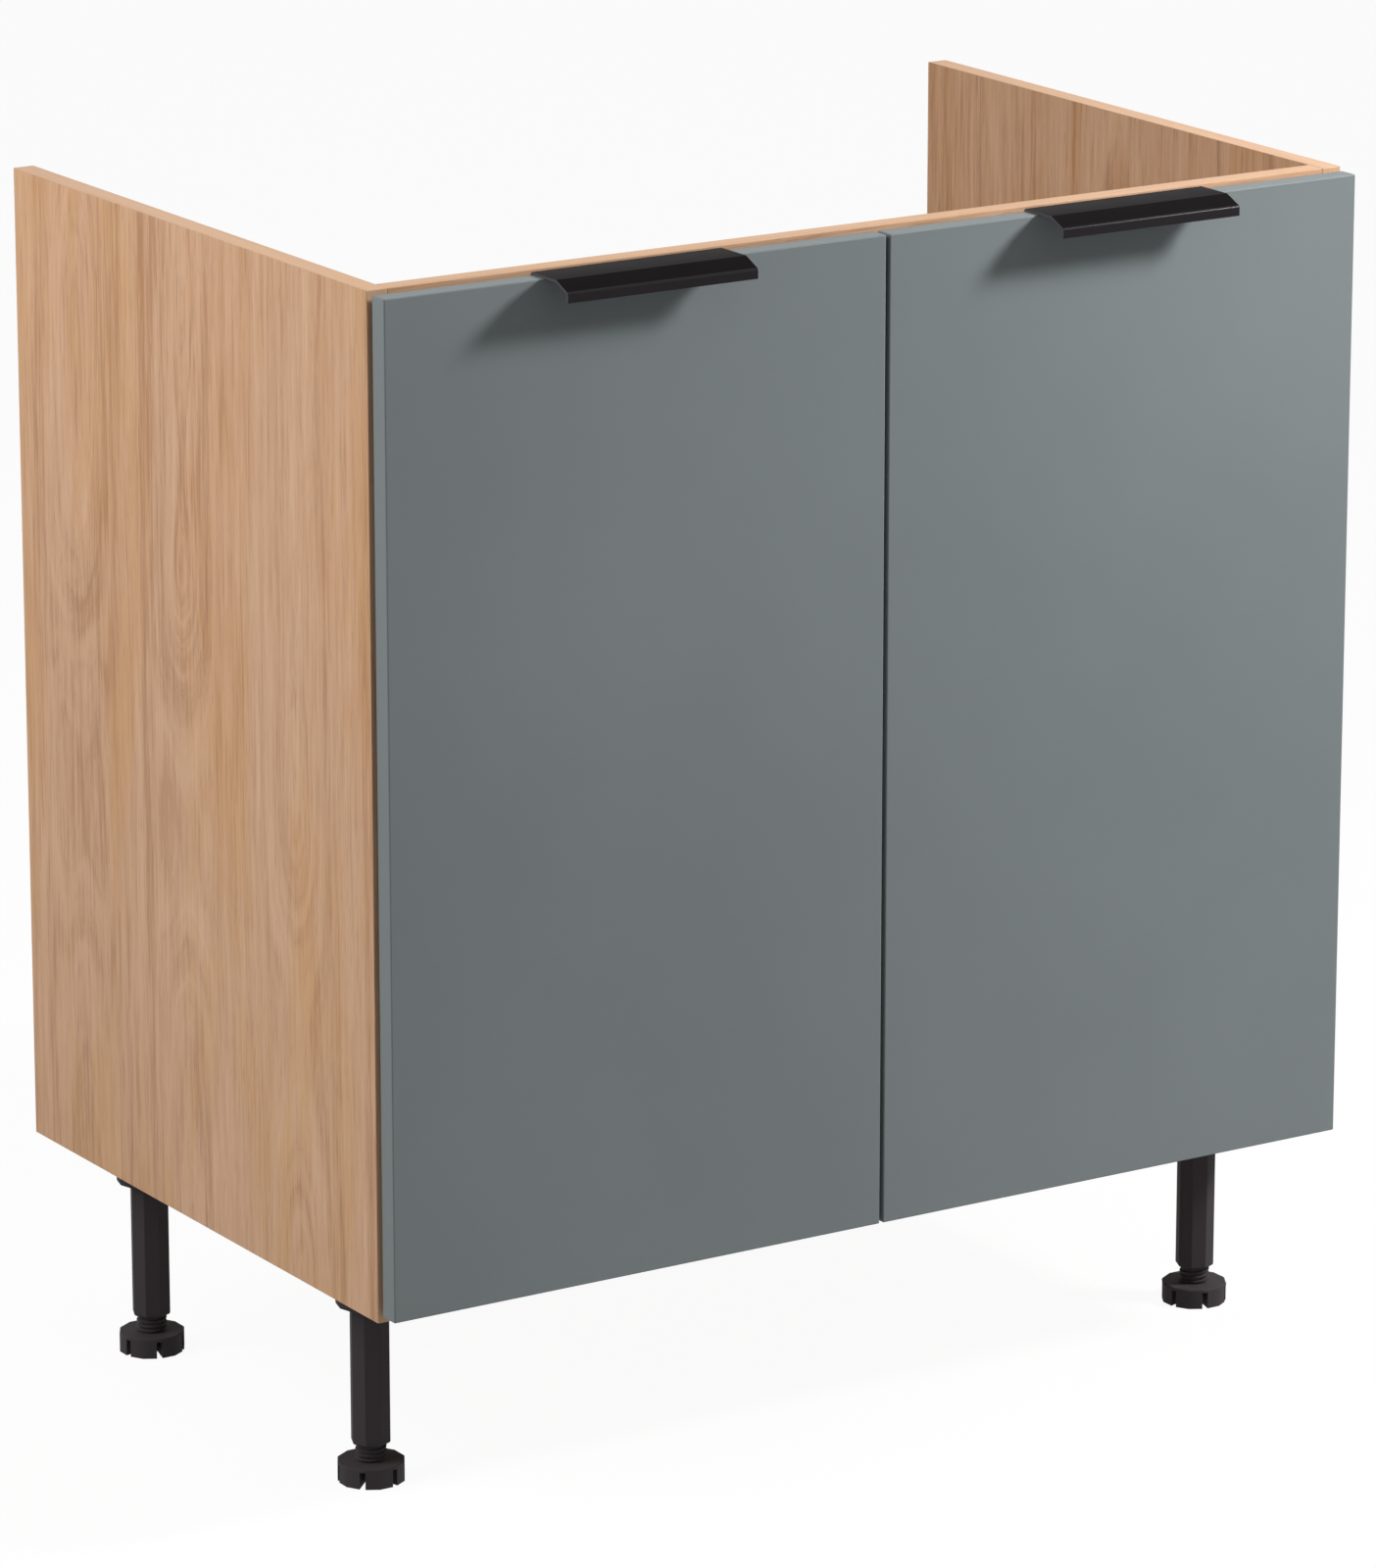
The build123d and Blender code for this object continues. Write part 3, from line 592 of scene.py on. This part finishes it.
# %% Ease the handles, the legs and the hinges
HANDLE_EASE = 0.25 * MM
HANDLE_SHARP = math.radians(60)
MOULD_EASE = 0.5 * MM
PRESSED_EASE = 0.25 * MM
for node, slot in node_slot.items():
    if slot == "handle_black":
        eased(node, HANDLE_EASE, HANDLE_SHARP)
    if node.endswith(("_leg_tube", "_leg_socket")):
        eased(node, MOULD_EASE)
    if node.endswith(("_hinge_arm", "_hinge_plate")):
        eased(node, PRESSED_EASE)

# %% [markdown]
# ## Screw feet
# Each foot is a slotted disc with a threaded spindle. The measured model draws the thread as rings. A real
# thread is one ridge that climbs a pitch with every turn, so the spindle is made again here: a ridge profile
# is carried up a helix. All its points are computed at once, as arrays of turns, profile points and angles.

# %% Spindle with a climbing thread
THREAD_PITCH = 3.5 * MM
THREAD_CREST = 11.0 * MM
THREAD_ROOT = 9.4 * MM
THREAD_STEPS = 60
PROFILE_RISE = np.array([0.0, 0.30, 0.45, 0.70, 0.85]) * THREAD_PITCH
PROFILE_RADIUS = np.array([THREAD_ROOT, THREAD_ROOT, THREAD_CREST, THREAD_CREST, THREAD_ROOT])


def grid_faces(rows, columns):
    """Four-cornered faces of a grid of points, row by row."""
    corner = np.arange(rows * columns).reshape(rows, columns)
    faces = np.stack([corner[:-1, :-1], corner[:-1, 1:], corner[1:, 1:], corner[1:, :-1]], axis=-1)
    return faces.reshape(-1, 4)


def spindle(centre, low, high):
    """Points and faces of a threaded spindle between two heights.

    A point's height is its turn plus its angle's share of a turn, times the pitch, plus its place in the
    profile, kept between the two ends. Its radius is the profile's, root or crest. Both ends close at the
    axis.
    """
    turns = np.arange(-1, math.ceil((high - low) / THREAD_PITCH) + 1)
    angle = np.linspace(0, 2 * np.pi, THREAD_STEPS + 1)
    start = (turns[:, None] * THREAD_PITCH + PROFILE_RISE).reshape(-1, 1)
    z = np.clip(low + start + THREAD_PITCH * angle / (2 * np.pi), low, high)
    radius = np.broadcast_to(np.tile(PROFILE_RADIUS, len(turns))[:, None], z.shape)
    z = np.vstack([np.full_like(angle, low), z, np.full_like(angle, high)])
    radius = np.vstack([np.zeros_like(angle), radius, np.zeros_like(angle)])
    points = np.stack([centre.x + radius * np.cos(angle), centre.y + radius * np.sin(angle), z], axis=-1)
    return points.reshape(-1, 3), grid_faces(*z.shape)


print("thread points on a turn", THREAD_STEPS)

# %% [markdown]
# The disc has twelve flats, so that fingers can turn it, and six slots for a tool. Turned on a lathe it would
# be round, so its radius follows the flats: the distance to a flat, over the cosine of the angle from that
# flat's middle. One profile is carried round the axis, and in a slot its lower edge lifts to the slot's roof.
# Each disc is turned by half a flat, one way or the other, so that neighbouring feet mirror each other.

# %% Disc with flats and slots
DISC_HEIGHT = 15.0 * MM
DISC_PLATE = 2.5 * MM
DISC_FLATS = 12
DISC_SLOTS = 6
SLOT_HALF_WIDTH = 2.0 * MM
SLOT_ROOF = DISC_HEIGHT - DISC_PLATE
HUB_RADIUS = 8.0 * MM
RIM_CHAMFER = 0.8 * MM
COLUMN_PLACE = (0, 0, 0, 0.25, 0.5, 0.75, 1, 1)
COLUMN_EDGE = (0, 1, 1, 0, 0, 0, -1, -1)
COLUMN_IN_SLOT = (1, 1, 0, 0, 0, 0, 0, 1)


def disc(centre, flat_distance, turn):
    """Points and faces of a slotted, twelve-sided disc that stands on the floor, turned about its axis.

    Columns go round the axis. From one slot's middle to the next come the slot's inner and outer edge, three
    places on the flats, and the next slot's outer and inner edge. Rows follow the profile from the axis
    below, round the rim, to the axis above.
    """
    flat = 2 * np.pi / DISC_FLATS
    sector = 2 * np.pi / DISC_SLOTS
    edge = np.tile(COLUMN_EDGE, DISC_SLOTS)
    place = np.repeat(np.arange(DISC_SLOTS), len(COLUMN_PLACE)) + np.tile(COLUMN_PLACE, DISC_SLOTS)
    rim_angle = place * sector + edge * np.arcsin(SLOT_HALF_WIDTH / flat_distance)
    hub_angle = place * sector + edge * np.arcsin(SLOT_HALF_WIDTH / HUB_RADIUS)
    rim = flat_distance / np.cos(np.mod(rim_angle, flat) - flat / 2)
    hub = np.full_like(rim, HUB_RADIUS)
    low = np.tile(COLUMN_IN_SLOT, DISC_SLOTS) * SLOT_ROOF
    floor = np.zeros_like(rim)
    roof = np.full_like(rim, DISC_HEIGHT)
    radius = np.stack([floor, hub, hub, rim, rim, rim - RIM_CHAMFER, floor])
    angle = turn + np.stack([hub_angle] * 3 + [rim_angle] * 4)
    z = np.stack([floor, floor, low, low, roof - RIM_CHAMFER, roof, roof])
    points = np.stack([centre.x + radius * np.cos(angle), centre.y + radius * np.sin(angle), z], axis=-1)
    points = np.concatenate([points, points[:, :1]], axis=1)
    return points.reshape(-1, 3), grid_faces(*points.shape[:2])


print("disc columns", DISC_SLOTS * len(COLUMN_PLACE))

# %% Stand a disc and a spindle at each corner
DISC_EASE = 0.3 * MM
DISC_SEGMENTS = 2


def close(joined):
    """Drop faces of no size, turn the rest outwards, and say whether an edge is left open."""
    bmesh.ops.dissolve_degenerate(joined, dist=MERGE_DISTANCE, edges=joined.edges)
    bmesh.ops.recalc_face_normals(joined, faces=joined.faces)
    print("faces", len(joined.faces), "open edges", sum(1 for edge in joined.edges if not edge.is_manifold))


for node in [name for name in node_slot if name.endswith("_leg_foot")]:
    lowest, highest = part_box(node)
    middle = (lowest + highest) / 2
    flat_distance = (highest.x - lowest.x) / 2
    turn = -math.copysign(math.pi / DISC_FLATS, middle.x * middle.y)
    disc_shape = disc(middle, flat_distance, turn)
    thread_shape = spindle(middle, SLOT_ROOF, highest.z)
    foot = piece_from(f"{node}_disc", *disc_shape, close, finishes["leg_plastic"], SHARP)
    thread = piece_from(f"{node}_spindle", *thread_shape, close, finishes["leg_plastic"], SHARP)
    round_edges(foot, DISC_EASE, DISC_SEGMENTS, SHARP)
    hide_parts(node)
    for piece in (foot, thread):
        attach(piece, node_body[node])

# %% [markdown]
# ## Floor, light and background
# The photograph is a studio picture on white. The strongest lamp stands far to the right of the doors, about
# as far up as a raised arm points, so the handles' shadows run down to the left. A broad soft light from the
# left brings up the oak side, and a dim even sky fills the rest. The floor is white, and to the camera it is
# mostly its own white, so that the shadow under the cabinet stays faint. Far off, floor and sky have the same
# tone, so that no horizon shows.

# %% Soft lamps
def softbox(name, azimuth, height, distance, size, watts):
    """Square lamp that faces the cabinet's middle, hidden from the camera. Both angles are in degrees."""
    lamp_data = bpy.data.lights.new(name, "AREA")
    lamp_data.shape = "SQUARE"
    lamp_data.size = size
    lamp_data.energy = watts
    lamp = stand(name, lamp_data)
    lamp.location = around(VIEW_TARGET, distance, math.radians(azimuth), math.radians(height))
    lamp.rotation_euler = (VIEW_TARGET - lamp.location).to_track_quat("-Z", "Y").to_euler()
    lamp.visible_camera = False
    print(name, [round(value, 2) for value in lamp.location])


softbox("key_right", azimuth=57, height=35, distance=2.4, size=0.42, watts=62)
softbox("fill_left", azimuth=-105, height=32, distance=2.4, size=1.4, watts=35)
softbox("top", azimuth=20, height=80, distance=3.0, size=2.2, watts=8)

# %% White sky
WHITE = (1, 1, 1, 1)
SKY_LIGHT = 0.19
SKY_WHITE = 0.9625


def seen_directly(start):
    """1 for a ray from the camera, also by way of a mirror or glass, and 0 for light on the object."""
    camera_ray = start.node("ShaderNodeLightPath", {}, {}, "Is Camera Ray")
    glossy_ray = start.node("ShaderNodeLightPath", {}, {}, "Is Glossy Ray")
    through_ray = start.node("ShaderNodeLightPath", {}, {}, "Is Transmission Ray")
    return camera_ray.math("MAXIMUM", glossy_ray).math("MAXIMUM", through_ray)


world = bpy.data.worlds.new("white_room")
world.use_nodes = True
bpy.context.scene.world = world
background = world.node_tree.nodes["Background"]
sky = seen_directly(Tint(background.outputs[0])) * (SKY_WHITE - SKY_LIGHT) + SKY_LIGHT
dress(background, {"Color": WHITE, "Strength": sky})
print("sky lights with", SKY_LIGHT, "and looks like", SKY_WHITE)

# %% White floor
FLOOR_SIZE = 60.0
FLOOR_GREY = (0.45, 0.45, 0.45, 1)
FLOOR_ROUGHNESS = 0.9
FLOOR_OWN_WHITE = 0.88
FLOOR_GLOW = 1.07

floor_finish = bpy.data.materials.new("white_floor")
floor_finish.use_nodes = True
floor_shader = floor_finish.node_tree.nodes["Principled BSDF"]
dress(floor_shader, {"Base Color": FLOOR_GREY, "Roughness": FLOOR_ROUGHNESS})
plain = Tint(floor_shader.outputs[0])
glow = plain.node("ShaderNodeEmission", {}, {"Color": WHITE, "Strength": FLOOR_GLOW})
share = seen_directly(plain) * FLOOR_OWN_WHITE
floor_mix = plain.node("ShaderNodeMixShader", {}, {0: share, 1: plain, 2: glow})
dress(floor_finish.node_tree.nodes["Material Output"], {"Surface": floor_mix})

half = FLOOR_SIZE / 2
floor_corners = [(-half, -half, 0), (half, -half, 0), (half, half, 0), (-half, half, 0)]
floor_mesh = bpy.data.meshes.new("floor")
floor_mesh.from_pydata(floor_corners, [], [(0, 1, 2, 3)])
floor_mesh.materials.append(floor_finish)
floor = stand("floor", floor_mesh)
bpy.context.scene.view_settings.view_transform = "Standard"
print("floor", FLOOR_SIZE, "m wide")
